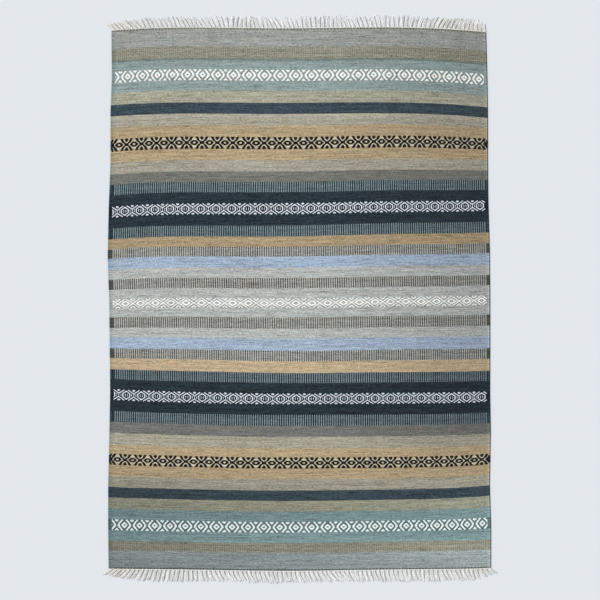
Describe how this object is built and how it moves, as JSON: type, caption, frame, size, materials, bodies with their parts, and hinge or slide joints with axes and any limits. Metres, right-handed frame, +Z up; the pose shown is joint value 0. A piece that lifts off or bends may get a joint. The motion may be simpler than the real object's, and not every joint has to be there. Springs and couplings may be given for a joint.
{
  "type": "kilim rug",
  "caption": "Flat-woven striped wool rug with brocaded bands of lozenges and a cotton warp fringe at each end, laid flat.",
  "frame": {"origin": "on the floor under the middle of the rug's bounding box, fringes included", "axes": "+Y along the warps, towards the end shown at the top of the picture; +X along the wefts; +Z up, out of the face"},
  "size_m": [1.4376, 2.0964, 0.0052],
  "materials": {
    "wool_weave": "matt, heathered wool weft in grey, teal, navy, tan, olive and light blue stripes",
    "cotton_fringe": "matt natural cotton yarn"
  },
  "bodies": {
    "root": {"kilim_cloth": "wool_weave", "fringe_upper": "cotton_fringe", "fringe_lower": "cotton_fringe"}
  },
  "joints": []
}
